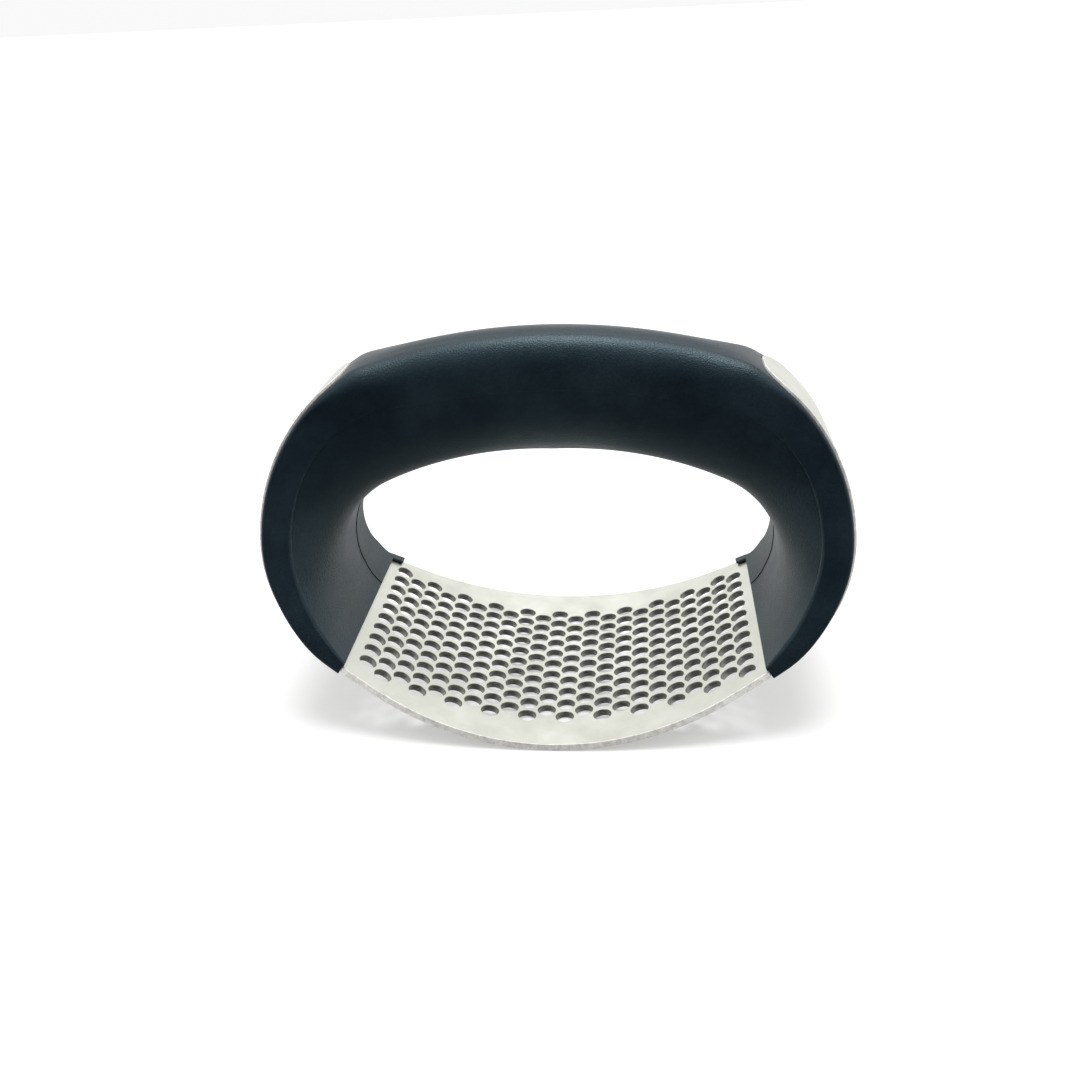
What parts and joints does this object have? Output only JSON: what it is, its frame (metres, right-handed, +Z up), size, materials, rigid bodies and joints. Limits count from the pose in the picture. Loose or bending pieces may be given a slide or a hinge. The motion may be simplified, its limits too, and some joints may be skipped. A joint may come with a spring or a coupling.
{
  "type": "rocking garlic press",
  "caption": "Rocking garlic press: a perforated steel band under a moulded bridge handle, pressed down and rocked over cloves.",
  "frame": {"origin": "on the surface it stands on, below the middle of the curved perforated floor", "axes": "+X along the length of the grip, +Y from the handle's front to its rear covers, +Z up through the grip"},
  "size_m": [0.1088, 0.0576, 0.0718],
  "materials": {
    "band_steel": "satin",
    "handle_plastic": "fine matt grain"
  },
  "bodies": {
    "root": {"steel_band": "band_steel", "handle": "handle_plastic", "rear_cover_right": "handle_plastic", "rear_cover_left": "handle_plastic"}
  },
  "joints": []
}
